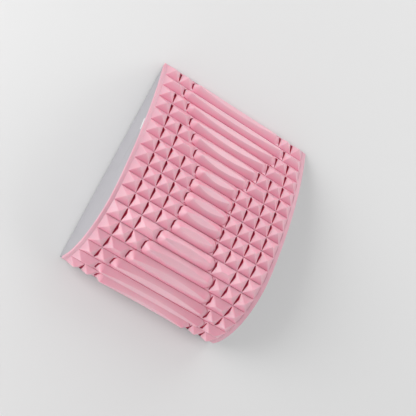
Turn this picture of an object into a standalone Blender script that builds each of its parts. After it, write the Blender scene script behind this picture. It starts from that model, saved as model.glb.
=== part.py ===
"""Back stretcher pillow: a knobbed foam pad on an arched, ribbed plastic body.

The body is one moulding: an arched deck, two flat end walls and a grid of ribs
inside. A base plate closes it from below and is held by screws. Four rubber
feet are pushed into the plate. The soft pad is moulded flat, with rows of
pyramids, hipped wedges and long bars, and is then bonded round the deck.

Metres, +Z up. X runs across the user's back, -Y is the steep front end.
The origin is under the middle of the part, on the floor.
"""
from math import asin, atan2, cos, floor, hypot, pi, radians, sin

import bmesh
import bpy
from mathutils import Matrix, Vector

# Pattern of the pad, measured on the flat pad
KNOB_PITCH = 0.0210
ROW_PITCH = 0.0216
SHORTEST_BAR = 0.0708
WAIST_COLUMNS = 4
END_ROW_COLUMNS = 2
SIDE_MARGIN = 0.0067
FRONT_MARGIN = 0.0006

# Knobs
KNOB_HEIGHT = 0.0068
KNOB_GROOVE = 0.0010
KNOB_LAND = 0.0012
SLIT_DRAW_IN = 0.0011
BAR_SAG = 0.0024
BAR_END_STEPS = 6

# Pad sheet
PAD_THICKNESS = 0.0040
PAD_EDGE = 0.0012

# Arch: three tangent arcs, from the low back end over the crown to the front
BACK_ROWS = 10
CROWN_ROWS = 2
FRONT_ROWS = 5
BACK_SWEEP = radians(28.2)
CROWN_SWEEP = radians(22.0)
FRONT_SWEEP = radians(66.6)
PAD_BACK_LIFT = 0.0006
PAD_FRONT_LIFT = 0.0118

# Body moulding
DECK_WALL = 0.0030
END_WALL = 0.0026
RIB = 0.0022
RIB_CELLS_ACROSS = 6
RIB_CELLS_ALONG = 5

# Base plate, and the step in the walls that it seats on
PLATE_THICKNESS = 0.0040
SEAT_STEP = 0.0008

# Screws, in counterbored holes under the rib crossings
SCREW_SHANK_RADIUS = 0.0015
SCREW_HEAD_RADIUS = 0.0034
SCREW_HEAD_HEIGHT = 0.0018
SCREW_HEAD_SINK = 0.0004
SCREW_LENGTH = 0.0120
SCREW_POINT = 0.0020
BOSS_WALL = 0.0028
BOSS_ROOF = 0.0030

# Rubber feet
FOOT_PROUD = 0.0020
FOOT_RADIUS = 0.0130
FOOT_ROUNDING = 0.0008
FOOT_SEAT = 0.0012
FOOT_STEM_RADIUS = 0.0032
FOOT_BARB_OVERHANG = 0.0014
FOOT_BARB_HEIGHT = 0.0030

# Blank tab let into the left end wall
TAB_FROM_BACK = 0.1168
TAB_LENGTH = 0.0190
TAB_HEIGHT = 0.0050
TAB_THICKNESS = 0.0010
TAB_DROP = 0.0010
TAB_CORNER = 0.0010

# Clearance between pieces that touch
GAP = 0.0003

# Facets of round pieces, and how far a guide runs past what it cuts
ROUND_SIDES = 24
SMALL_SIDES = 12
CORNER_STEPS = 3
CUT_OVERRUN = 0.0020

row_count = BACK_ROWS + CROWN_ROWS + FRONT_ROWS
middle_row = (row_count - 1) / 2
field_width = 2 * WAIST_COLUMNS * KNOB_PITCH + SHORTEST_BAR
body_width = field_width + 2 * SIDE_MARGIN
pad_length = row_count * ROW_PITCH + FRONT_MARGIN
body_bottom = FOOT_PROUD
plate_top = body_bottom + PLATE_THICKNESS
rib_bottom = plate_top + GAP
deck_depth = PAD_THICKNESS + GAP
cavity_depth = deck_depth + DECK_WALL
arcs = ((BACK_ROWS * ROW_PITCH, BACK_SWEEP),
        (CROWN_ROWS * ROW_PITCH, CROWN_SWEEP),
        (FRONT_ROWS * ROW_PITCH, FRONT_SWEEP))


# The arch

def follow_arcs(distance, slope):
    """Along the arcs from the back end: how far forward, how high, and the slope there."""
    forward = height = 0.0
    left = distance
    for length, sweep in arcs:
        step = min(left, length)
        turn = sweep * step / length
        chord = 2 * length / sweep * sin(turn / 2)
        forward += chord * cos(slope - turn / 2)
        height += chord * sin(slope - turn / 2)
        slope -= turn
        left -= step
    return forward + left * cos(slope), height + left * sin(slope), slope


def slope_at_back():
    """The slope that puts both ends of the pad at their heights above the body's underside."""
    forward, height, _ = follow_arcs(pad_length, 0.0)
    rise = PAD_FRONT_LIFT - PAD_BACK_LIFT
    return asin(rise / hypot(forward, height)) - atan2(height, forward)


def bend(x, along, height, back_edge_y):
    """A point of the flat pad bent round the arch: along is from the back, height is outward."""
    forward, up, slope = follow_arcs(along, back_slope)
    y = back_edge_y - forward + height * sin(slope)
    return Vector((x, y, body_bottom + PAD_BACK_LIFT + up + height * cos(slope)))


def back_edge():
    """Where the pad's back edge lies, so that the part's length is centred on the origin."""
    tops = [(row + 0.5) * ROW_PITCH + side * KNOB_LAND / 2 for row in range(row_count) for side in (-1, 1)]
    reach = [bend(0.0, along, KNOB_HEIGHT, 0.0).y for along in tops]
    reach += [bend(0.0, along, 0.0, 0.0).y for along in (0.0, pad_length)]
    return -(min(reach) + max(reach)) / 2


back_slope = slope_at_back()
back_edge_y = back_edge()


def on_arch(x, along, height):
    return bend(x, along, height, back_edge_y)


def along_at_level(height, level, at_front=False):
    """How far from the back end the surface at this outward height passes a level."""
    outside = pad_length + ROW_PITCH if at_front else -ROW_PITCH
    inside = BACK_ROWS * ROW_PITCH
    for _ in range(50):
        middle = (outside + inside) / 2
        if on_arch(0.0, middle, height).z < level:
            outside = middle
        else:
            inside = middle
    return inside


def half_rows(start, end):
    """Stations at every half row between two places along the arch."""
    stations = [half * ROW_PITCH / 2 for half in range(2 * row_count + 1)]
    return [s for s in stations if start + GAP < s < end - GAP]


# Materials and mesh helpers

def make_material(name, colour, roughness, metallic=0.0):
    material = bpy.data.materials.new(name)
    material.use_nodes = True
    shader = material.node_tree.nodes["Principled BSDF"]
    shader.inputs["Base Color"].default_value = (*colour, 1.0)
    shader.inputs["Roughness"].default_value = roughness
    shader.inputs["Metallic"].default_value = metallic
    material.diffuse_color = (*colour, 1.0)
    return material


def make_object(bm, name, material=None, smooth_angle=None, find_outside=True):
    if find_outside:
        bmesh.ops.recalc_face_normals(bm, faces=bm.faces)
    mesh = bpy.data.meshes.new(name)
    bm.to_mesh(mesh)
    bm.free()
    obj = bpy.data.objects.new(name, mesh)
    bpy.context.collection.objects.link(obj)
    if material:
        mesh.materials.append(material)
    if smooth_angle:
        mesh.shade_smooth()
        mesh.set_sharp_from_angle(angle=smooth_angle)
    return obj


def subtract(target, guide):
    """Cut a hidden guide out of an object."""
    guide.hide_render = True
    guide.display_type = "WIRE"
    cut = target.modifiers.new(guide.name, "BOOLEAN")
    cut.operation = "DIFFERENCE"
    cut.solver = "EXACT"
    cut.object = guide


def extrude_outline(bm, outline, offset):
    """One prism: a closed outline of points, pushed along an offset."""
    face = bm.faces.new([bm.verts.new(point) for point in outline])
    pushed = bmesh.ops.extrude_face_region(bm, geom=[face])["geom"]
    bmesh.ops.translate(bm, verts=[item for item in pushed if isinstance(item, bmesh.types.BMVert)], vec=offset)


def rounded_rectangle(length, width, corner):
    """A rectangle with round corners about the origin, as flat points."""
    points = []
    for quarter, (side_x, side_y) in enumerate(((1, 1), (-1, 1), (-1, -1), (1, -1))):
        for step in range(CORNER_STEPS + 1):
            angle = (quarter + step / CORNER_STEPS) * pi / 2
            points.append((side_x * (length / 2 - corner) + corner * cos(angle),
                           side_y * (width / 2 - corner) + corner * sin(angle)))
    return points


def turn_profile(bm, profile, place, sides):
    """A turned piece from radius and height points that start and end on the axis."""
    verts = [bm.verts.new((place[0] + radius, place[1], height)) for radius, height in profile]
    edges = [bm.edges.new(pair) for pair in zip(verts, verts[1:])]
    bmesh.ops.spin(bm, geom=verts + edges, cent=(*place, 0), axis=(0, 0, 1), angle=2 * pi, steps=sides,
                   use_merge=True, use_duplicate=False)
    bmesh.ops.remove_doubles(bm, verts=bm.verts, dist=0.00001)


def rim_rounding(radius, face_height, rounding, steps):
    """Profile points from a turned piece's lower face up round its rim."""
    points = []
    for step in range(steps + 1):
        angle = step / steps * pi / 2
        points.append((radius - rounding * (1 - sin(angle)), face_height + rounding * (1 - cos(angle))))
    return points


# The foam pad

def side_columns(row):
    """Columns of knobs beside a row's bar: most at the waist, fewer towards both ends."""
    from_middle = abs(row - middle_row)
    if from_middle >= middle_row:
        return END_ROW_COLUMNS
    return max(1.5, min(WAIST_COLUMNS, WAIST_COLUMNS + 1 - from_middle / 2))


def row_blocks(row):
    """A row's blocks from left to right: their two ends across the pad, and which one is the bar."""
    columns = side_columns(row)
    widths = [KNOB_PITCH] * floor(columns)
    widths[-1] = KNOB_PITCH * (1 + columns - floor(columns))
    left = -field_width / 2
    blocks = []
    for width in widths:
        blocks.append((left, left + width, False))
        left += width
    mirrored = [(-end, -start, False) for start, end, _ in reversed(blocks)]
    return blocks + [(left, -left, True)] + mirrored


def knob_outline(half_length, half_width):
    """A knob's footprint about its centre, drawn in a little at the slits to its neighbours."""
    waist = half_length - SLIT_DRAW_IN
    return [(half_length, -half_width), (waist, 0.0), (half_length, half_width),
            (-half_length, half_width), (-waist, 0.0), (-half_length, -half_width)]


def bar_outline(half_length, half_width):
    """A bar's footprint about its centre: straight sides and round ends."""
    ridge = half_length - half_width
    points = []
    for side in (1, -1):
        for step in range(BAR_END_STEPS + 1):
            angle = pi * (step / BAR_END_STEPS - 0.5)
            points.append((side * (ridge + half_width * cos(angle)), side * half_width * sin(angle)))
        points += [(side * ridge * share, side * half_width) for share in (0.5, 0.0, -0.5)]
    return points


def join_loops(bm, lower, upper):
    for here in range(len(lower)):
        after = (here + 1) % len(lower)
        bm.faces.new((lower[here], lower[after], upper[after], upper[here]))


def loop_edges(bm, loop):
    return [bm.edges.get((loop[here - 1], loop[here])) for here in range(len(loop))]


def add_block(bm, left, right, back, is_bar):
    """One raised block whose sides slope to its ridge; returns the edges of its footprint."""
    half_length = (right - left - KNOB_GROOVE) / 2
    half_width = (ROW_PITCH - KNOB_GROOVE) / 2
    centre_x = (left + right) / 2
    centre_s = back + ROW_PITCH / 2
    ridge = max(0.0, half_length - half_width)
    outline = bar_outline(half_length, half_width) if is_bar else knob_outline(half_length, half_width)
    foot, top = [], []
    for x, s in outline:
        on_ridge = max(-ridge, min(ridge, x))
        sag = BAR_SAG * (1 - (on_ridge / ridge) ** 2) if is_bar else 0.0
        land = KNOB_LAND / (2 * half_width)
        land += (1 - land) * sag / KNOB_HEIGHT
        foot.append(bm.verts.new((centre_x + x, centre_s + s, 0.0)))
        top.append(bm.verts.new((centre_x + on_ridge + (x - on_ridge) * land, centre_s + s * land,
                                 KNOB_HEIGHT - sag)))
    join_loops(bm, foot, top)
    if is_bar:
        cover_bar(bm, top)
    else:
        bm.faces.new(top)
    return loop_edges(bm, foot)


def cover_bar(bm, top):
    """The long trough on a bar: a round face at each end, and strips across between them."""
    half = len(top) // 2
    bm.faces.new(top[:BAR_END_STEPS + 1])
    bm.faces.new(top[half:half + BAR_END_STEPS + 1])
    for here in range(BAR_END_STEPS, half):
        across = BAR_END_STEPS - here
        bm.faces.new((top[here], top[here + 1], top[across - 1], top[across]))


def border_loop(bm, inset, height, back, stations):
    """The pad's edge at one height, with a point at every station along both sides."""
    side = body_width / 2 - inset
    reach = [back] + stations + [pad_length - inset]
    points = [(side, s, height) for s in reach] + [(-side, s, height) for s in reversed(reach)]
    return [bm.verts.new(point) for point in points]


def build_pad(material):
    """The pad is made flat and closed, then every point is bent round the arch.

    Its back end is cut level, a gap above the body's underside. Bending runs the
    length towards -Y, which turns the faces over, so they are turned back.
    """
    bm = bmesh.new()
    floor_edges = []
    for row in range(row_count):
        for left, right, is_bar in row_blocks(row):
            floor_edges += add_block(bm, left, right, row * ROW_PITCH, is_bar)
    level = body_bottom + PAD_BACK_LIFT - GAP
    under_back = along_at_level(-PAD_THICKNESS, level)
    rim_back = along_at_level(-PAD_EDGE, level)
    stations = half_rows(under_back, pad_length)
    under = border_loop(bm, 0.0, -PAD_THICKNESS, under_back, stations)
    rim = border_loop(bm, 0.0, -PAD_EDGE, rim_back, stations)
    top = border_loop(bm, PAD_EDGE, 0.0, 0.0, stations)
    join_loops(bm, under, rim)
    join_loops(bm, rim, top)
    bmesh.ops.triangle_fill(bm, edges=floor_edges + loop_edges(bm, top), use_beauty=True, normal=(0, 0, 1))
    for here in range(len(under) // 2 - 1):
        bm.faces.new((under[here], under[here + 1], under[-here - 2], under[-here - 1]))
    bmesh.ops.recalc_face_normals(bm, faces=bm.faces)
    for vert in bm.verts:
        vert.co = on_arch(*vert.co)
    bmesh.ops.reverse_faces(bm, faces=bm.faces)
    return make_object(bm, "massage_pad", material, find_outside=False)


# The body moulding

def arch_side_view(x, depth, start, end):
    """Points along the surface this far under the pad's face, from the back to the front."""
    return [on_arch(x, s, -depth) for s in [start] + half_rows(start, end) + [end]]


def split_span(start, end, count):
    """Equal clear spans between two walls, with a rib between each pair."""
    clear = (end - start - (count - 1) * RIB) / count
    return [(start + index * (clear + RIB), start + index * (clear + RIB) + clear) for index in range(count)]


def rib_places(spans):
    return [(before[1] + after[0]) / 2 for before, after in zip(spans, spans[1:])]


def roof_point(y):
    """The point of the cavity's roof above a place along Y."""
    for behind, ahead in zip(roof, roof[1:]):
        if y >= ahead.y:
            return ahead.lerp(behind, min(1.0, (y - ahead.y) / (behind.y - ahead.y)))
    return roof[-1]


inner_half_width = body_width / 2 - END_WALL
roof = arch_side_view(0.0, cavity_depth, along_at_level(-cavity_depth, rib_bottom),
                      along_at_level(-cavity_depth, rib_bottom, at_front=True))
cells_across = split_span(-inner_half_width, inner_half_width, RIB_CELLS_ACROSS)
cells_along = split_span(roof[-1].y, roof[0].y, RIB_CELLS_ALONG)
pocket_length = 2 * (inner_half_width + SEAT_STEP)
pocket_width = roof[0].y - roof[-1].y + 2 * SEAT_STEP
pocket_y = (roof[0].y + roof[-1].y) / 2
pocket_corner = 2.5 * SEAT_STEP
screw_head_top = body_bottom + SCREW_HEAD_SINK + SCREW_HEAD_HEIGHT
screw_tip = screw_head_top + SCREW_LENGTH
pilot_radius = SCREW_SHANK_RADIUS + GAP
rib_lines_across = rib_places(cells_across)
screw_places = [(x, y) for y in rib_places(cells_along) for x in (rib_lines_across[0], rib_lines_across[-1])]
foot_places = [(sum(cells_across[column]) / 2, sum(cells_along[cell]) / 2)
               for cell in (0, -1) for column in (0, -1)]


def build_body(material):
    """The arched moulding, with its rib cells, the plate's pocket, pilot holes and the tab's recess cut out.

    The deck runs on below the pad's front end, down to the underside.
    """
    left = -body_width / 2
    start = along_at_level(-deck_depth, body_bottom)
    end = along_at_level(-deck_depth, body_bottom, at_front=True)
    outline = arch_side_view(left, deck_depth, start, end)
    bm = bmesh.new()
    extrude_outline(bm, outline, Vector((body_width, 0, 0)))
    body = make_object(bm, "arch_body", material)

    bm = bmesh.new()
    for y_start, y_end in cells_along:
        side_view = [roof_point(y_end)]
        side_view += [point for point in roof if y_start + GAP < point.y < y_end - GAP]
        side_view.append(roof_point(y_start))
        side_view += [Vector((0, y, rib_bottom - CUT_OVERRUN)) for y in (y_start, y_end)]
        for x_start, x_end in cells_across:
            outline = [Vector((x_start, point.y, point.z)) for point in side_view]
            extrude_outline(bm, outline, Vector((x_end - x_start, 0, 0)))
    cells = make_object(bm, "guide_rib_cells")

    bm = bmesh.new()
    boss_radius = pilot_radius + BOSS_WALL
    boss_top = screw_tip + BOSS_ROOF
    for place in screw_places:
        turn_profile(bm, [(0, body_bottom), (boss_radius, body_bottom), (boss_radius, boss_top), (0, boss_top)],
                     place, ROUND_SIDES)
    subtract(cells, make_object(bm, "guide_bosses"))
    subtract(body, cells)

    bm = bmesh.new()
    below = body_bottom - CUT_OVERRUN
    outline = [Vector((x, pocket_y + y, below))
               for x, y in rounded_rectangle(pocket_length, pocket_width, pocket_corner)]
    extrude_outline(bm, outline, Vector((0, 0, rib_bottom - below)))
    add_tab_shape(bm, GAP, TAB_THICKNESS + GAP, CUT_OVERRUN)
    subtract(body, make_object(bm, "guide_pocket_and_recess"))

    bm = bmesh.new()
    pilot_top = screw_tip + GAP
    for place in screw_places:
        turn_profile(bm, [(0, body_bottom), (pilot_radius, body_bottom), (pilot_radius, pilot_top), (0, pilot_top)],
                     place, SMALL_SIDES)
    subtract(body, make_object(bm, "guide_pilot_holes"))
    return body


def add_tab_shape(bm, clearance, depth, overrun):
    """The tab or its recess: a rounded rectangle in line with the arch, pushed into the left end wall."""
    _, _, slope = follow_arcs(TAB_FROM_BACK, back_slope)
    centre = on_arch(-body_width / 2 - overrun, TAB_FROM_BACK, -deck_depth - TAB_DROP - TAB_HEIGHT / 2)
    turn = Matrix.Rotation(-slope, 3, "X")
    rectangle = rounded_rectangle(TAB_LENGTH + 2 * clearance, TAB_HEIGHT + 2 * clearance, TAB_CORNER + clearance)
    outline = [centre + turn @ Vector((0, along, up)) for along, up in rectangle]
    extrude_outline(bm, outline, Vector((depth + overrun, 0, 0)))


def build_tab(material):
    bm = bmesh.new()
    add_tab_shape(bm, 0.0, TAB_THICKNESS, 0.0)
    return make_object(bm, "side_tab", material)


# Base plate, screws and feet

def build_plate(material):
    """The flat plate that closes the body, with counterbored screw holes and seats for the feet."""
    bm = bmesh.new()
    outline = [Vector((x, pocket_y + y, body_bottom))
               for x, y in rounded_rectangle(pocket_length - 2 * GAP, pocket_width - 2 * GAP, pocket_corner - GAP)]
    extrude_outline(bm, outline, Vector((0, 0, PLATE_THICKNESS)))
    plate = make_object(bm, "base_plate", material)

    bm = bmesh.new()
    below = body_bottom - CUT_OVERRUN
    above = plate_top + CUT_OVERRUN
    head = SCREW_HEAD_RADIUS + GAP
    head_seat = screw_head_top + GAP
    for place in screw_places:
        turn_profile(bm, [(0, below), (head, below), (head, head_seat), (pilot_radius, head_seat),
                          (pilot_radius, above), (0, above)], place, SMALL_SIDES)
    disc = FOOT_RADIUS + GAP
    stem = FOOT_STEM_RADIUS + GAP
    foot_seat = body_bottom + FOOT_SEAT
    for place in foot_places:
        turn_profile(bm, [(0, below), (disc, below), (disc, foot_seat), (stem, foot_seat),
                          (stem, above), (0, above)], place, ROUND_SIDES)
    subtract(plate, make_object(bm, "guide_plate_holes"))
    return plate


def build_screw(name, place, material):
    """A pan-head screw, from under the plate up into its boss."""
    profile = [(0, body_bottom + SCREW_HEAD_SINK)]
    profile += rim_rounding(SCREW_HEAD_RADIUS, body_bottom + SCREW_HEAD_SINK, SCREW_HEAD_HEIGHT / 2, 2)
    profile += [(SCREW_HEAD_RADIUS, screw_head_top), (SCREW_SHANK_RADIUS, screw_head_top),
                (SCREW_SHANK_RADIUS, screw_tip - SCREW_POINT), (0, screw_tip)]
    bm = bmesh.new()
    turn_profile(bm, profile, (0, 0), SMALL_SIDES)
    screw = make_object(bm, name, material, smooth_angle=radians(35))
    screw.location = (*place, 0)
    return screw


def build_foot(name, place, material):
    """A rubber foot: a disc in its seat, a stem through the plate and a barb above it."""
    disc_top = body_bottom + FOOT_SEAT - GAP
    barb_base = plate_top + GAP
    barb_top = barb_base + FOOT_BARB_HEIGHT
    profile = [(0, 0)] + rim_rounding(FOOT_RADIUS, 0.0, FOOT_ROUNDING, 3)
    profile += [(FOOT_RADIUS, disc_top), (FOOT_STEM_RADIUS, disc_top), (FOOT_STEM_RADIUS, barb_base),
                (FOOT_STEM_RADIUS + FOOT_BARB_OVERHANG, barb_base), (FOOT_STEM_RADIUS / 2, barb_top), (0, barb_top)]
    bm = bmesh.new()
    turn_profile(bm, profile, (0, 0), ROUND_SIDES)
    foot = make_object(bm, name, material, smooth_angle=radians(35))
    foot.location = (*place, 0)
    return foot


for old in list(bpy.data.objects):
    bpy.data.objects.remove(old, do_unlink=True)

pink_foam = make_material("pink_foam", (0.76, 0.42, 0.47), 0.42)
grey_plastic = make_material("grey_plastic", (0.50, 0.49, 0.51), 0.45)
white_plastic = make_material("white_plastic", (0.82, 0.81, 0.82), 0.5)
dark_rubber = make_material("dark_rubber", (0.10, 0.10, 0.10), 0.8)
zinc_steel = make_material("zinc_steel", (0.62, 0.62, 0.60), 0.35, metallic=1.0)

build_body(grey_plastic)
build_pad(pink_foam)
build_tab(white_plastic)
build_plate(grey_plastic)
for number, screw_place in enumerate(screw_places, start=1):
    build_screw(f"base_screw_{number}", screw_place, zinc_steel)
for foot_name, foot_place in zip(("foot_front_left", "foot_front_right", "foot_back_left", "foot_back_right"),
                                 foot_places):
    build_foot(foot_name, foot_place, dark_rubber)
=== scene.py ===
from math import asin, atan2, cos, floor, hypot, pi, radians, sin, tan

import bmesh
import bpy
from mathutils import Matrix, Vector


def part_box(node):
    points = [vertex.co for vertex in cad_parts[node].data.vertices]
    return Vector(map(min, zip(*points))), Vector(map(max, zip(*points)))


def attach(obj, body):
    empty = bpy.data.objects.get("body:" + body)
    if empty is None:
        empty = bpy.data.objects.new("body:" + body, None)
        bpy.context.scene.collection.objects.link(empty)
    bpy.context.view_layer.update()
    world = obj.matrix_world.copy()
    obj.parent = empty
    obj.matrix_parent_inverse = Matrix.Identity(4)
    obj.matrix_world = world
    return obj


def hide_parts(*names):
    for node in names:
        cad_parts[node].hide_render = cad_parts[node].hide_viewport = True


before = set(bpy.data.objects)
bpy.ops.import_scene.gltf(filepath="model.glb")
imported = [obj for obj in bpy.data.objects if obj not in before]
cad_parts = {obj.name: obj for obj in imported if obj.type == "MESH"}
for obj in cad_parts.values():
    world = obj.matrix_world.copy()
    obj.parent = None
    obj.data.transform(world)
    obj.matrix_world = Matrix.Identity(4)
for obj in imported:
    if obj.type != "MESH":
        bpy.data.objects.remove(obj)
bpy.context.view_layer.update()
scene = bpy.context.scene


# The body is one moulding of light grey plastic, an arched deck with a flat wall at each end and ribs
# inside. It comes from a two-part mould, so its faces are smooth and satin and its edges just broken.

BODY_EDGE = 0.00035
GREY_COLOURS = (0.365, 0.358, 0.381), (0.390, 0.382, 0.406)
SAME_POINT = 0.00002
FLAT_WITHIN = radians(0.5)
BROKEN_EDGE_OVER = radians(35)
SHADED_SHARP_OVER = radians(40)
CLOUD_LOW, CLOUD_HIGH = 0.3, 0.7


def material_named(name):
    """A new material, its node tree and its shader."""
    material = bpy.data.materials.new(name)
    material.use_nodes = True
    shader = material.node_tree.nodes["Principled BSDF"]
    return material, material.node_tree, shader


def make_fine_grain():
    """Shared by all the finishes: a fine grain for bump, and a slow cloud for colour and gloss."""
    group = bpy.data.node_groups.new("fine_grain", "ShaderNodeTree")
    group.interface.new_socket("Grain scale", in_out="INPUT", socket_type="NodeSocketFloat")
    group.interface.new_socket("Cloud scale", in_out="INPUT", socket_type="NodeSocketFloat")
    group.interface.new_socket("Grain", in_out="OUTPUT", socket_type="NodeSocketFloat")
    group.interface.new_socket("Cloud", in_out="OUTPUT", socket_type="NodeSocketFloat")
    nodes, links = group.nodes, group.links
    given = nodes.new("NodeGroupInput")
    result = nodes.new("NodeGroupOutput")
    place = nodes.new("ShaderNodeTexCoord")
    for output, socket, detail in (("Grain", "Grain scale", 4.0), ("Cloud", "Cloud scale", 2.0)):
        noise = nodes.new("ShaderNodeTexNoise")
        noise.inputs["Detail"].default_value = detail
        links.new(place.outputs["Object"], noise.inputs["Vector"])
        links.new(given.outputs[socket], noise.inputs["Scale"])
        links.new(noise.outputs["Fac"], result.inputs[output])
    return group


fine_grain = make_fine_grain()


def add_grain(tree, shader, grain_scale, cloud_scale, bump, gloss, colours):
    """Wires the grain into a finish: bump from the grain, roughness and colour from the cloud."""
    nodes, links = tree.nodes, tree.links
    grain = nodes.new("ShaderNodeGroup")
    grain.node_tree = fine_grain
    grain.inputs["Grain scale"].default_value = grain_scale
    grain.inputs["Cloud scale"].default_value = cloud_scale
    relief = nodes.new("ShaderNodeBump")
    relief.inputs["Strength"].default_value = 1.0
    relief.inputs["Distance"].default_value = bump
    links.new(grain.outputs["Grain"], relief.inputs["Height"])
    links.new(relief.outputs["Normal"], shader.inputs["Normal"])
    roughness = nodes.new("ShaderNodeMapRange")
    roughness.inputs["From Min"].default_value = CLOUD_LOW
    roughness.inputs["From Max"].default_value = CLOUD_HIGH
    roughness.inputs["To Min"].default_value, roughness.inputs["To Max"].default_value = gloss
    links.new(grain.outputs["Cloud"], roughness.inputs["Value"])
    links.new(roughness.outputs["Result"], shader.inputs["Roughness"])
    tint = nodes.new("ShaderNodeValToRGB")
    for stop, position, colour in zip(tint.color_ramp.elements, (CLOUD_LOW, CLOUD_HIGH), colours):
        stop.position = position
        stop.color = (*colour, 1)
    links.new(grain.outputs["Cloud"], tint.inputs["Fac"])
    links.new(tint.outputs["Color"], shader.inputs["Base Color"])
    return tint


def finish_moulding(node, name, edge, material):
    """A copy of a moulded piece, merged to one skin, its sharp edges broken as a mould leaves them."""
    bm = bmesh.new()
    bm.from_mesh(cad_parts[node].data)
    bmesh.ops.remove_doubles(bm, verts=bm.verts, dist=SAME_POINT)
    bmesh.ops.dissolve_limit(bm, angle_limit=FLAT_WITHIN, verts=bm.verts, edges=bm.edges)
    sharp = [e for e in bm.edges if len(e.link_faces) == 2 and e.calc_face_angle(0) > BROKEN_EDGE_OVER]
    bmesh.ops.bevel(bm, geom=sharp, offset=edge, offset_type="OFFSET", affect="EDGES",
                    segments=2, profile=0.5, material=-1, clamp_overlap=True)
    mesh = bpy.data.meshes.new(name)
    bm.to_mesh(mesh)
    bm.free()
    mesh.shade_smooth()
    mesh.set_sharp_from_angle(angle=SHADED_SHARP_OVER)
    mesh.materials.append(material)
    piece = bpy.data.objects.new(name, mesh)
    scene.collection.objects.link(piece)
    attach(piece, "root")
    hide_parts(node)


grey_plastic, grey_tree, grey_shader = material_named("grey_plastic")
add_grain(grey_tree, grey_shader, grain_scale=1400.0, cloud_scale=14.0, bump=0.00003,
          gloss=(0.40, 0.50), colours=GREY_COLOURS)
finish_moulding("arch_body", "arched_body", BODY_EDGE, grey_plastic)


# The base plate is a flat moulding of the same grey plastic. It drops into a rebate under the body and
# has a counterbored hole for each screw and a round seat for each foot.

PLATE_EDGE = 0.00020
finish_moulding("base_plate", "bottom_plate", PLATE_EDGE, grey_plastic)


# Eight zinc-plated pan-head screws hold the plate to bosses inside the body. They are driven in from
# below, and their heads lie in the plate's counterbores, just below its face.

SCREWS = 8
SCREW_EDGE = 0.00008
ZINC_COLOURS = (0.58, 0.58, 0.57), (0.66, 0.66, 0.65)
zinc_steel, zinc_tree, zinc_shader = material_named("zinc_steel")
zinc_shader.inputs["Metallic"].default_value = 1.0
add_grain(zinc_tree, zinc_shader, grain_scale=2500.0, cloud_scale=300.0, bump=0.00001,
          gloss=(0.26, 0.38), colours=ZINC_COLOURS)
for number in range(1, SCREWS + 1):
    finish_moulding(f"base_screw_{number}", f"plate_screw_{number}", SCREW_EDGE, zinc_steel)


# Four feet of dark rubber are pushed into the plate from below. They are matt, a little dusty, and stand
# two millimetres proud, so that the plastic never touches the floor.

FOOT_EDGE = 0.00015
RUBBER_COLOURS = (0.020, 0.020, 0.021), (0.034, 0.034, 0.035)
dark_rubber, rubber_tree, rubber_shader = material_named("dark_rubber")
rubber_shader.inputs["Specular IOR Level"].default_value = 0.35
add_grain(rubber_tree, rubber_shader, grain_scale=1800.0, cloud_scale=60.0, bump=0.00006,
          gloss=(0.70, 0.88), colours=RUBBER_COLOURS)
for corner in ("front_left", "front_right", "back_left", "back_right"):
    finish_moulding(f"foot_{corner}", f"rubber_foot_{corner}", FOOT_EDGE, dark_rubber)


# The tab is a small blank piece of white plastic, just under the pad. It is a moulding of its own, held
# in a shallow pocket of the left end wall, so that it lies flush with it.

TAB_EDGE = 0.00012
WHITE_COLOURS = (0.66, 0.655, 0.668), (0.70, 0.695, 0.708)
white_plastic, white_tree, white_shader = material_named("white_plastic")
add_grain(white_tree, white_shader, grain_scale=1600.0, cloud_scale=40.0, bump=0.00002,
          gloss=(0.42, 0.52), colours=WHITE_COLOURS)
finish_moulding("side_tab", "blank_tab", TAB_EDGE, white_plastic)


# The pad is one sheet of soft pink closed-cell foam, moulded flat in rows of pyramids, hipped wedges and
# long troughed bars, with slits between the columns and a thin groove round the right end of most bars.
# It is then bent over the deck and glued down.

# The sheet and its rows
KNOB_PITCH = 0.0210
ROW_PITCH = 0.0216
ROWS = 17
WAIST_COLUMNS = 4
END_COLUMNS = 2
SHORTEST_BAR = 0.0708
SIDE_MARGIN = 0.0067
FRONT_MARGIN = 0.0006
FIELD_WIDTH = 2 * WAIST_COLUMNS * KNOB_PITCH + SHORTEST_BAR
PAD_WIDTH = FIELD_WIDTH + 2 * SIDE_MARGIN
PAD_LENGTH = ROWS * ROW_PITCH + FRONT_MARGIN
PAD_THICKNESS = 0.0040

# Knobs
KNOB_HEIGHT = 0.0072
WEDGE_OVER = 1.2 * KNOB_PITCH
BACK_ROW_LEAN = 0.0022
LEFT_REACH = 0.0017
CORNER_ROUND = 0.0007
END_POINTS = (0.09, 0.30, 0.50, 0.70, 0.91)
RIDGE_ROUND = 0.0018
CREASE_ROUND = 0.0008

# The line round each block, sunk into the floor, and the strip outside the outer ones
LINE = 0.00035
LINE_DEPTH = 0.0009
CORNER_DEPTH = 0.00015
SHALLOW_BESIDE_BAR = 0.008
GUTTER = 0.0006

# Slits: how far each side is cut back, and where along a row, as shares of its depth
SLIT_LEFT, SLIT_RIGHT = 0.0011, 0.0021
SLIT_LEFT_FLARE = 2.5
SLIT_START, SLIT_END = 0.06, 0.94
SLIT_BACK_PARTS = (0.25, 0.5, 0.75, 1.0)
SLIT_FRONT_PARTS = (0.67, 0.33, 0.0)
SLIT_WIDEST = 0.41
SLIT_WIDEST_SHIFT = 0.35
SLIT_WIDEST_SLOPE = radians(12)
SLIT_WIDEST_RANGE = 0.14, 0.86
SLIT_DEPTH = 0.0034
SLIT_END_DEPTH = 0.5
SLIT_FLOOR = 0.85

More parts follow.
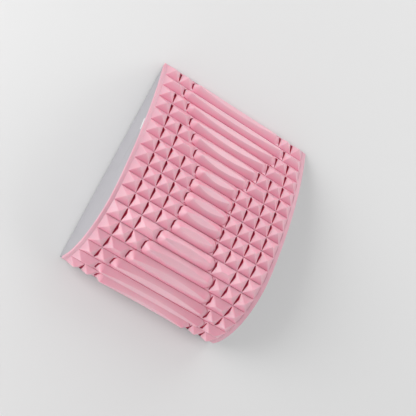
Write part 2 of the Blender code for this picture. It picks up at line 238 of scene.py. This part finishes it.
# Bars: the trough, the points of their outline, and at each end the first angle and the turn of the slit
BAR_SAG = 0.0025
BAR_LAND = 0.0011
BAR_SHARES = (-0.8, -0.6, -0.4, -0.2, 0.0, 0.2, 0.4, 0.6, 0.8)
BAR_BACK_ANGLES = (-90, -82, -74)
BAR_FRONT_PARTS = (0.2, 0.4, 0.6, 0.8, 1.0)
BAR_LEFT_WIDEST = 0.55
BAR_LEFT_SLIT = -60, 106
BAR_RIGHT_SLIT = -66, 132
GROOVE_WIDTH = 0.0007
GROOVE_REACH = 0.0002
FIRST_GROOVED_ROW = 7

# The pad's edge from top to underside: how far in from its sides, height, back end, short of the front
BAND_BACK, BAND_FRONT = 0.00002, 0.0005
EDGE_STEPS = (
    (0.0013, 0.0, 0.0, 0.0003),
    (0.0004, -0.0004, 0.0002, 0.0001),
    (0.0, -0.0013, 0.0010, 0.0),
    (0.0, -PAD_THICKNESS, 0.0044, 0.0),
)

# The arch from back to front: length and turn of each arc
ARCS = (
    (10 * ROW_PITCH, radians(28.2)),
    (2 * ROW_PITCH, radians(22.0)),
    (5 * ROW_PITCH, radians(66.6)),
)
BACK_LIFT = 0.0006
FRONT_ABOVE_BACK = 0.0112

# The foam's shine, and shade painted into its colour by how deep in the pattern a place lies
FLOOR_FACES_UP = 0.9
WALL_FACES_UP = 0.4
# Painted shade in slits, grooves and on the line round the bars' ends, darker the deeper they lie
SUNK_SHADE = 0.7
SUNK_SHADE_DEPTH = 2.5 * LINE_DEPTH
# Painted shade on knobs and bars, at their foot and low on the sides that face the front
FACET_SHADE, FACET_SHADE_MORE = 0.1, 0.45
FOOT_SHADE, FOOT_SHADE_HEIGHT = 0.4, 0.12 * KNOB_HEIGHT
FRONT_SHADE_FACES, FRONT_SHADE_HEIGHT = 0.5, 0.6 * KNOB_HEIGHT
PINK_COLOURS = (0.790, 0.446, 0.518), (0.820, 0.476, 0.548)
# Colours multiplied into the pink: the plain margin a little greyer, tops unchanged, then painted shade,
# deepest red in the slits
PAINTED_SHADE_COLOURS = ((0.1, (1, 1, 1, 1)), (0.55, (1.0, 0.64, 0.76, 1)))
MARGIN_COLOUR, DEEPEST_PAINTED_SHADE = (0.88, 0.82, 0.85, 1), (0.80, 0.13, 0.25, 1)
FOAM_SHINE, SUNK_SHINE = 0.7, 0.15
SHINE_FADES_FROM, SHINE_FADES_TO = 0.5, 0.9
PAD_SHADED_SHARP_OVER = radians(30)
FACET_WEIGHT = 90


def follow_arcs(distance, slope):
    """How far forward and up a walk over the arcs leads, and the slope at its end."""
    forward = height = 0.0
    remaining = distance
    for length, sweep in ARCS:
        step = min(remaining, length)
        turned = sweep * step / length
        chord = 2 * length / sweep * sin(turned / 2)
        forward += chord * cos(slope - turned / 2)
        height += chord * sin(slope - turned / 2)
        slope -= turned
        remaining -= step
    return forward + remaining * cos(slope), height + remaining * sin(slope), slope


pad_reach, pad_rise, _ = follow_arcs(PAD_LENGTH, 0.0)
back_slope = asin(FRONT_ABOVE_BACK / hypot(pad_reach, pad_rise)) - atan2(pad_rise, pad_reach)
back_edge_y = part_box("massage_pad")[1].y
back_edge_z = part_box("arch_body")[0].z + BACK_LIFT


def on_arch(x, along, height):
    """A point of the flat pad, bent round the arch."""
    forward, up, slope = follow_arcs(along, back_slope)
    y = back_edge_y - forward + height * sin(slope)
    return Vector((x, y, back_edge_z + up + height * cos(slope)))


def row_blocks(row):
    """The blocks of a row from left to right: two ends, and whether it is the bar. The waist's rows have
    four knobs on each side of the bar, each row further out half a knob fewer, and the end rows two."""
    from_middle = abs(row - (ROWS - 1) / 2)
    columns = min(WAIST_COLUMNS, WAIST_COLUMNS + 1 - from_middle / 2)
    if row in (0, ROWS - 1):
        columns = END_COLUMNS
    widths = [KNOB_PITCH] * floor(columns)
    widths[-1] *= 1 + columns - floor(columns)
    edges = [-FIELD_WIDTH / 2]
    for width in widths:
        edges.append(edges[-1] + width)
    edges += [-edge for edge in reversed(edges)]
    blocks = enumerate(zip(edges, edges[1:]))
    return [(left, right, index == len(widths)) for index, (left, right) in blocks]


def widest_place(row):
    """A slit is widest near its back end on the long slope, and near its front end on the steep one."""
    _, _, slope = follow_arcs((row + 0.5) * ROW_PITCH, back_slope)
    nearest, furthest = SLIT_WIDEST_RANGE
    place = SLIT_WIDEST - SLIT_WIDEST_SHIFT * tan(slope + SLIT_WIDEST_SLOPE)
    return min(max(place, nearest), furthest)


def along_slit(widest):
    """The shares of a row's depth at which its sides have points, and how wide the slit is at each."""
    points = [(0.0, 0.0), (SLIT_START, 0.0)]
    points += [(SLIT_START + (widest - SLIT_START) * part, part) for part in SLIT_BACK_PARTS]
    points += [(SLIT_END + (widest - SLIT_END) * part, part) for part in SLIT_FRONT_PARTS]
    return points + [(1.0, 0.0)]


def left_width(share):
    """The bulge of a slit's left side. It opens faster than the right side, and then runs level."""
    return SLIT_LEFT * min(1.0, SLIT_LEFT_FLARE * share)


def side_chain(bm, x, inward, row, slope, slit):
    """The side of a knob from back to front. A slit draws it in, so that it lies higher up the slope."""
    start, length = row * ROW_PITCH + LINE, ROW_PITCH - 2 * LINE
    chain = []
    for t, share in along_slit(widest_place(row)):
        if slit:
            draw = SLIT_RIGHT * share if inward > 0 else left_width(share)
        else:
            draw = CORNER_ROUND if t in (0.0, 1.0) else 0.0
        height = draw * slope if slit else 0.0
        chain.append(bm.verts.new((x + inward * draw, start + length * t, height)))
    return chain


def end_line(bm, left_corner, right_corner):
    """The back or front side of a knob, with points close to its corners and between."""
    points = [left_corner]
    for share in END_POINTS:
        points.append(bm.verts.new(left_corner.co.lerp(right_corner.co, share)))
    return points + [right_corner]


def add_knob(bm, left, right, row, slits, outermost, ridges):
    """A pyramid, or a wedge where it is longer than one pitch."""
    hip = KNOB_PITCH / 2
    middle = (row + 0.5) * ROW_PITCH - (BACK_ROW_LEAN if row == 0 else 0.0)
    slope = KNOB_HEIGHT / (hip - LINE)
    left_chain = side_chain(bm, left + LINE, 1, row, slope, slits[0])
    if outermost:
        bmesh.ops.translate(bm, verts=left_chain, vec=(-LEFT_REACH, 0, 0))
    right_chain = side_chain(bm, right - LINE, -1, row, slope, slits[1])
    top = [bm.verts.new((left + hip, middle, KNOB_HEIGHT))]
    if right - left > WEDGE_OVER:
        top.append(bm.verts.new((right - hip, middle, KNOB_HEIGHT)))
        ridges.append(bm.edges.new(top))
    back = end_line(bm, left_chain[0], right_chain[0])
    front = end_line(bm, left_chain[-1], right_chain[-1])
    bm.faces.new(left_chain + [top[0]])
    bm.faces.new(right_chain + [top[-1]])
    bm.faces.new(back + top[::-1])
    bm.faces.new(front + top[::-1])
    for foot, apex in ((left_chain[0], top[0]), (left_chain[-1], top[0]),
                       (right_chain[0], top[-1]), (right_chain[-1], top[-1])):
        ridges.append(bm.edges.get((foot, apex)))
    return {"left": left_chain, "right": right_chain, "back": back, "front": front}


def add_bar(bm, left, right, row, creases):
    """A long bar with round hipped ends and a shallow trough along its top. A slit is cut out of its
    left end, and from the first grooved row on a thin groove runs round its right end."""
    half_width = ROW_PITCH / 2 - LINE
    centre = (row + 0.5) * ROW_PITCH
    ridge = (right - left) / 2 - LINE - half_width
    foot_slope = KNOB_HEIGHT / (half_width - BAR_LAND)
    groove_width = GROOVE_WIDTH if row >= FIRST_GROOVED_ROW else 0.0

    def pair(side, x_out, s_out, along_ridge, draw=0.0):
        """A point of the bar's foot and the one of its crest above it."""
        sag = BAR_SAG * (1 - (along_ridge / ridge) ** 2)
        land = BAR_LAND / half_width
        land += (1 - land) * sag / KNOB_HEIGHT
        lean = BACK_ROW_LEAN / 2 if row == 0 else 0.0
        kept = 1 - draw / half_width
        foot = (side * (along_ridge + x_out * kept), centre + s_out * kept, draw * foot_slope)
        crest = (side * (along_ridge + x_out * land), centre + s_out * land - lean, KNOB_HEIGHT - sag)
        return bm.verts.new(foot), bm.verts.new(crest)

    def wall_and_creases(pairs):
        """The steep side between foot and crest. Its crest is a crease, rounded later."""
        for here, after in zip(pairs, pairs[1:]):
            bm.faces.new((here[0], after[0], after[1], here[1]))
            creases.append(bm.edges.get((here[1], after[1])))

    ends, rims = {}, {}
    groove_floor, groove_edge = [], []
    for side, widest, start, sweep in ((-1, BAR_LEFT_WIDEST, *BAR_LEFT_SLIT),
                                       (1, widest_place(row), *BAR_RIGHT_SLIT)):
        stations = along_slit(widest)
        draws = [SLIT_RIGHT * share if side < 0 else groove_width * (0 < t < 1) for t, share in stations]
        angles = [(angle, 0.0) for angle in BAR_BACK_ANGLES]
        angles += [(start + sweep * t, draw) for (t, _), draw in zip(stations, draws)]
        angles += [(start + sweep + (90 - start - sweep) * part, 0.0) for part in BAR_FRONT_PARTS]
        ring = []
        for angle, draw in angles:
            x_out, s_out = half_width * cos(radians(angle)), half_width * sin(radians(angle))
            ring.append(pair(side, x_out, s_out, ridge, draw))
        ends[side], rims[side] = ring, []
        for (t, share), draw in zip(stations[1:-1], draws[1:-1]):
            around = radians(start + sweep * t)
            bulge = left_width(share)
            if side < 0:
                x_out = min((half_width + LINE) * cos(around) + bulge, half_width + LINE)
                s_out = (half_width + LINE) * sin(around)
            else:
                floor_radius = half_width + (GROOVE_REACH - draw) / 2
                floor_depth = LINE_DEPTH if draw else CORNER_DEPTH
                edge_radius = half_width + GROOVE_REACH
                for chain, radius, depth in ((groove_floor, floor_radius, floor_depth),
                                             (groove_edge, edge_radius, 0.0)):
                    place = (ridge + radius * cos(around), centre + radius * sin(around), -depth)
                    chain.append(bm.verts.new(place))
                x_out = half_width + LINE - min(bulge, half_width * (1 - cos(around)))
                s_out = half_width * (2 * t - 1)
            rims[side].append(bm.verts.new((side * (ridge + x_out), centre + s_out, 0.0)))
        bm.faces.new([crest for _, crest in ring])
        wall_and_creases(ring)
    back, front = [ends[-1][0]], [ends[-1][-1]]
    for share in BAR_SHARES:
        back.append(pair(1, 0.0, -half_width, share * ridge))
        front.append(pair(1, 0.0, half_width, share * ridge))
    back.append(ends[1][0])
    front.append(ends[1][-1])
    for pairs in (back, front):
        wall_and_creases(pairs)
    for index in range(len(back) - 1):
        bm.faces.new((back[index][1], back[index + 1][1], front[index + 1][1], front[index][1]))
    first = len(BAR_BACK_ANGLES)
    last = first + len(stations)
    left_ring, right_ring = [foot for foot, _ in ends[-1]], [foot for foot, _ in ends[1]]
    return {"left": left_ring[first:last], "right": right_ring[first:last],
            "left_rim": [rims[-1]], "right_rim": [groove_floor, groove_edge, rims[1]],
            "outline": left_ring[1:-1] + right_ring[1:-1],
            "back_ring": left_ring[1:first + 1] + right_ring[1:first + 1],
            "front_ring": left_ring[last - 1:-1] + right_ring[last - 1:-1],
            "back": left_ring[first::-1] + [foot for foot, _ in back[1:-1]] + right_ring[:first + 1],
            "front": left_ring[last - 1:] + [foot for foot, _ in front[1:-1]] + right_ring[:last - 2:-1]}


def cut_slit(bm, one, two):
    """The slit between two rows of points. Its walls are steep and it is deepest in the middle."""
    low_one, low_two = [], []
    count = len(one)
    for index, (a, b) in enumerate(zip(one, two)):
        fall = sin(pi * index / (count - 1))
        depth = SLIT_DEPTH * (SLIT_END_DEPTH + (1 - SLIT_END_DEPTH) * fall)
        middle = (a.co + b.co) / 2
        for vert, low in ((a, low_one), (b, low_two)):
            across = (vert.co - middle) * SLIT_FLOOR
            low.append(bm.verts.new((middle.x + across.x, middle.y + across.y, -depth)))
    for top, low in ((one, low_one), (two, low_two)):
        for index in range(count - 1):
            bm.faces.new((top[index], top[index + 1], low[index + 1], low[index]))
    for index in range(count - 1):
        bm.faces.new((low_one[index], low_one[index + 1], low_two[index + 1], low_two[index]))
    for index in (0, -1):
        bm.faces.new((one[index], two[index], low_two[index], low_one[index]))


def join_blocks(bm, before, after):
    """Two blocks of a row meet at a slit, which is cut mostly out of the one on the right. Beside a bar
    there is a strip of floor too, and at its right end the groove lies in it."""
    one, two = before["right"], after["left"]
    between = before.get("right_rim") or after.get("left_rim") or []
    for end, inner in ((0, 1), (-1, -2)):
        bm.faces.new([one[end], one[inner]] + [chain[end] for chain in between] + [two[inner], two[end]])
    one, two = one[1:-1], two[1:-1]
    for chain in between:
        for index in range(len(chain) - 1):
            bm.faces.new((one[index], one[index + 1], chain[index + 1], chain[index]))
        one = chain
    cut_slit(bm, one, two)


def chain_edges(bm, chain):
    """The edges along a row of points, made where they are missing."""
    return [bm.edges.get(pair) or bm.edges.new(pair) for pair in zip(chain, chain[1:])]


def border_loop(bm, left, right, height, back, front):
    """The pad's edge at one height, with a point at every quarter row along its sides."""
    reach = [back] + [quarter * ROW_PITCH / 4 for quarter in range(1, ROWS * 4)] + [front]
    points = [(right, s, height) for s in reach] + [(left, s, height) for s in reversed(reach)]
    return [bm.verts.new(point) for point in points]


def join_loops(bm, one, two):
    """One wall between two loops of as many points."""
    for index in range(len(one)):
        after = (index + 1) % len(one)
        bm.faces.new((one[index], one[after], two[after], two[index]))


pad = bmesh.new()
ridges, creases, line_edges = [], [], []
corners, outline = set(), set()
bar_ends = [next(right for _, right, is_bar in row_blocks(row) if is_bar) for row in range(ROWS)]
for row in range(ROWS):
    blocks = row_blocks(row)
    made = []
    for index, (left, right, is_bar) in enumerate(blocks):
        if is_bar:
            made.append(add_bar(pad, left, right, row, creases))
        else:
            slits = (index > 0, index + 1 < len(blocks) and not blocks[index + 1][2])
            made.append(add_knob(pad, left, right, row, slits, index == 0, ridges))
    for before, after in zip(made, made[1:]):
        join_blocks(pad, before, after)
    line_edges += chain_edges(pad, made[0]["left"]) + chain_edges(pad, made[-1]["right"])
    for side in ("back", "front"):
        whole = [vert for block in made for vert in block[side]]
        line_edges += chain_edges(pad, whole)
    for block in made:
        corners.update(block[side][end].co.to_tuple(6) for side in ("left", "right") for end in (0, -1))
        outline.update(vert.co.to_tuple(6)[:2] for vert in block.get("outline", ()))
    right_side = made[-1]["right"]
    corners.update(vert.co.to_tuple(6) for vert in made[0]["left"] + right_side[:2] + right_side[-2:])
    for side, other in (("back", row - 1), ("front", row + 1)):
        if 0 <= other < ROWS and bar_ends[other] > bar_ends[row]:
            furthest = bar_ends[other]
            nearest = furthest - SHALLOW_BESIDE_BAR
            for block in made:
                shallow = block.get(side + "_ring") or [
                    vert for vert in block[side] if nearest < abs(vert.co.x) < furthest]
                corners.update(vert.co.to_tuple(6) for vert in shallow)

sunk = bmesh.ops.extrude_edge_only(pad, edges=line_edges)["geom"]
sunk_verts = {item for item in sunk if isinstance(item, bmesh.types.BMVert)}
sunk_edges = [item for item in sunk if isinstance(item, bmesh.types.BMEdge)]
low_edges = [edge for edge in sunk_edges if sunk_verts.issuperset(edge.verts)]
for vert in sunk_verts:
    vert.co.z = -CORNER_DEPTH if vert.co.to_tuple(6) in corners else -LINE_DEPTH

half_field, half_pad = FIELD_WIDTH / 2, PAD_WIDTH / 2
band = border_loop(pad, -half_field - LEFT_REACH - GUTTER, half_field + GUTTER, 0.0,
                   BAND_BACK, PAD_LENGTH - BAND_FRONT)
loops = [band]
for inset, height, back, front in EDGE_STEPS:
    loops.append(border_loop(pad, inset - half_pad, half_pad - inset, height, back, PAD_LENGTH - front))
for one, two in zip(loops, loops[1:]):
    join_loops(pad, one, two)
under = loops[-1]
for index in range(len(under) // 2 - 1):
    pad.faces.new((under[index], under[index + 1], under[-index - 2], under[-index - 1]))
band_edges = chain_edges(pad, band + band[:1])
bmesh.ops.triangle_fill(pad, edges=low_edges + band_edges, use_beauty=True, normal=(0, 0, 1))

bmesh.ops.recalc_face_normals(pad, faces=pad.faces)
for soft_edges, radius in ((ridges, RIDGE_ROUND), (creases, CREASE_ROUND)):
    bmesh.ops.bevel(pad, geom=soft_edges, offset=radius, offset_type="OFFSET", affect="EDGES",
                    segments=4, profile=0.5, material=-1, clamp_overlap=True)
bmesh.ops.recalc_face_normals(pad, faces=pad.faces)


def painted_shade_at(face, vert):
    """How much shade is painted on a corner of a face: 0 on the plain margin, 1 and over in slits, more
    the deeper it lies and the lower it sits on a side that faces the front.
    """
    x, _, z = vert.co
    if not LINE - LEFT_REACH < x + half_field < FIELD_WIDTH - LINE:
        return 0.0
    if face.normal.z > FLOOR_FACES_UP and vert.co.to_tuple(6)[:2] in outline:
        return SUNK_SHADE
    if face.normal.z < WALL_FACES_UP or z < -2 * CORNER_DEPTH:
        return SUNK_SHADE - z / SUNK_SHADE_DEPTH
    # Painted shade at the foot of a facet, and low on facets that face the front
    shade_at_foot = FOOT_SHADE * (1 - z / FOOT_SHADE_HEIGHT)
    shade_low_on_front = face.normal.y / FRONT_SHADE_FACES * (1 - z / FRONT_SHADE_HEIGHT)
    return FACET_SHADE + FACET_SHADE_MORE * max(0.0, shade_at_foot, shade_low_on_front)


# Each face corner keeps its amount of painted shade, which the foam's colour and shine read
painted_shade = pad.loops.layers.float.new("painted_shade")
for face in pad.faces:
    face.normal_update()
    for loop in face.loops:
        loop[painted_shade] = painted_shade_at(face, loop.vert)
for vert in pad.verts:
    vert.co = on_arch(*vert.co)
bmesh.ops.reverse_faces(pad, faces=pad.faces)
pad_mesh = bpy.data.meshes.new("foam_pad")
pad.to_mesh(pad_mesh)
pad.free()
pad_mesh.shade_smooth()
pad_mesh.set_sharp_from_angle(angle=PAD_SHADED_SHARP_OVER)
foam_pad = bpy.data.objects.new("foam_pad", pad_mesh)
scene.collection.objects.link(foam_pad)
flat_facets = foam_pad.modifiers.new("flat_facets", "WEIGHTED_NORMAL")
flat_facets.weight = FACET_WEIGHT
flat_facets.keep_sharp = True

pink_foam, foam_tree, foam_shader = material_named("pink_foam")
foam_tint = add_grain(foam_tree, foam_shader, grain_scale=900.0, cloud_scale=22.0, bump=0.00004,
                      gloss=(0.36, 0.44), colours=PINK_COLOURS)
# Painted shade: the pink is multiplied by a ramp of shade colours, darker and deeper red in slits,
# grooves and low on sides facing the front; the same amount turns the shine down in the grooves
painted_shade_mask = foam_tree.nodes.new("ShaderNodeAttribute")
painted_shade_mask.attribute_name = "painted_shade"
painted_shade_ramp = foam_tree.nodes.new("ShaderNodeValToRGB")
painted_shade_ramp.color_ramp.elements[0].color = MARGIN_COLOUR
painted_shade_ramp.color_ramp.elements[1].color = DEEPEST_PAINTED_SHADE
for position, colour in PAINTED_SHADE_COLOURS:
    painted_shade_ramp.color_ramp.elements.new(position).color = colour
foam_tree.links.new(painted_shade_mask.outputs["Fac"], painted_shade_ramp.inputs["Fac"])
painted_shade_mix = foam_tree.nodes.new("ShaderNodeMix")
painted_shade_mix.data_type = "RGBA"
painted_shade_mix.blend_type = "MULTIPLY"
painted_shade_mix.inputs["Factor"].default_value = 1.0
foam_tree.links.new(foam_tint.outputs["Color"], painted_shade_mix.inputs["A"])
foam_tree.links.new(painted_shade_ramp.outputs["Color"], painted_shade_mix.inputs["B"])
foam_tree.links.new(painted_shade_mix.outputs["Result"], foam_shader.inputs["Base Color"])
foam_sheen = foam_tree.nodes.new("ShaderNodeMapRange")
foam_sheen.inputs["From Min"].default_value = SHINE_FADES_FROM
foam_sheen.inputs["From Max"].default_value = SHINE_FADES_TO
foam_sheen.inputs["To Min"].default_value = FOAM_SHINE
foam_sheen.inputs["To Max"].default_value = SUNK_SHINE
foam_tree.links.new(painted_shade_mask.outputs["Fac"], foam_sheen.inputs["Value"])
foam_tree.links.new(foam_sheen.outputs["Result"], foam_shader.inputs["Specular IOR Level"])
foam_shader.inputs["Specular IOR Level"].default_value = FOAM_SHINE
foam_shader.inputs["Subsurface Weight"].default_value = 0.3
foam_shader.inputs["Subsurface Radius"].default_value = (1.0, 0.30, 0.40)
foam_shader.inputs["Subsurface Scale"].default_value = 0.003
pad_mesh.materials.append(pink_foam)
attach(foam_pad, "root")
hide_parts("massage_pad")


# The stage is a plain pale floor under four soft boxes, the strongest on the left, and a sky that grows
# brighter towards the horizon. The camera looks down on the front left corner, rolled as in the
# photograph.

FLOOR_SIZE = 6.0
FLOOR_GREY = 0.80
CAMERA_LENS, CAMERA_SENSOR = 99.3, 36.0
CAMERA_SIDE, CAMERA_HEIGHT = -0.4961, 1.5080
CAMERA_BEFORE_BACK_EDGE = 0.4610
CAMERA_RIGHT = (0.80840, 0.45202, 0.37706)
CAMERA_UP = (-0.49187, 0.87061, 0.01089)
CAMERA_BACK = (-0.32334, -0.19427, 0.92613)
LIT_POINT = (0, 0, 0.04)
LIGHT_DISTANCE = 1.7
LIGHT_SIZE = 1.1
SKY_LOW, SKY_HIGH = 0.2, 0.8
HORIZON_STRENGTH, ZENITH_STRENGTH = 1.02, 0.2

floor_grid = bmesh.new()
bmesh.ops.create_grid(floor_grid, x_segments=1, y_segments=1, size=FLOOR_SIZE)
floor_mesh = bpy.data.meshes.new("floor")
floor_grid.to_mesh(floor_mesh)
floor_grid.free()
stage_floor = bpy.data.objects.new("floor", floor_mesh)
scene.collection.objects.link(stage_floor)
pale_floor, _, floor_shader = material_named("pale_floor")
floor_shader.inputs["Base Color"].default_value = (FLOOR_GREY, FLOOR_GREY, FLOOR_GREY, 1)
floor_shader.inputs["Roughness"].default_value = 0.9
floor_shader.inputs["Specular IOR Level"].default_value = 0.1
floor_mesh.materials.append(pale_floor)

camera_data = bpy.data.cameras.new("camera")
camera_data.lens = CAMERA_LENS
camera_data.sensor_width = CAMERA_SENSOR
camera_data.clip_end = 30.0
camera = bpy.data.objects.new("camera", camera_data)
camera_turn = Matrix((CAMERA_RIGHT, CAMERA_UP, CAMERA_BACK)).transposed().to_4x4()
camera_place = (CAMERA_SIDE, back_edge_y - CAMERA_BEFORE_BACK_EDGE, CAMERA_HEIGHT)
camera.matrix_world = Matrix.Translation(camera_place) @ camera_turn
scene.collection.objects.link(camera)
scene.camera = camera


def add_soft_light(name, direction, power):
    """A square soft box that faces the middle of the object."""
    data = bpy.data.lights.new(name, "AREA")
    data.shape = "SQUARE"
    data.size = LIGHT_SIZE
    data.energy = power
    light = bpy.data.objects.new(name, data)
    target = Vector(LIT_POINT)
    light.location = target + Vector(direction).normalized() * LIGHT_DISTANCE
    light.rotation_euler = (target - light.location).to_track_quat("-Z", "Y").to_euler()
    scene.collection.objects.link(light)


add_soft_light("left_light", (-0.86, -0.06, 0.51), power=18.0)
add_soft_light("right_light", (0.82, 0.22, 0.53), power=6.5)
add_soft_light("back_light", (0.20, 0.86, 0.46), power=7.5)
add_soft_light("front_light", (-0.2, -0.95, 0.25), power=5.0)

world = bpy.data.worlds.new("studio")
world.use_nodes = True
world_nodes, world_links = world.node_tree.nodes, world.node_tree.links
sky_place = world_nodes.new("ShaderNodeTexCoord")
upward = world_nodes.new("ShaderNodeSeparateXYZ")
world_links.new(sky_place.outputs["Generated"], upward.inputs["Vector"])
sky_fall = world_nodes.new("ShaderNodeMapRange")
sky_fall.interpolation_type = "SMOOTHSTEP"
sky_fall.inputs["From Min"].default_value = SKY_LOW
sky_fall.inputs["From Max"].default_value = SKY_HIGH
sky_fall.inputs["To Min"].default_value = HORIZON_STRENGTH
sky_fall.inputs["To Max"].default_value = ZENITH_STRENGTH
world_links.new(upward.outputs["Z"], sky_fall.inputs["Value"])
world_nodes["Background"].inputs["Color"].default_value = (1, 1, 1, 1)
world_links.new(sky_fall.outputs["Result"], world_nodes["Background"].inputs["Strength"])
scene.world = world
scene.view_settings.view_transform = "Standard"
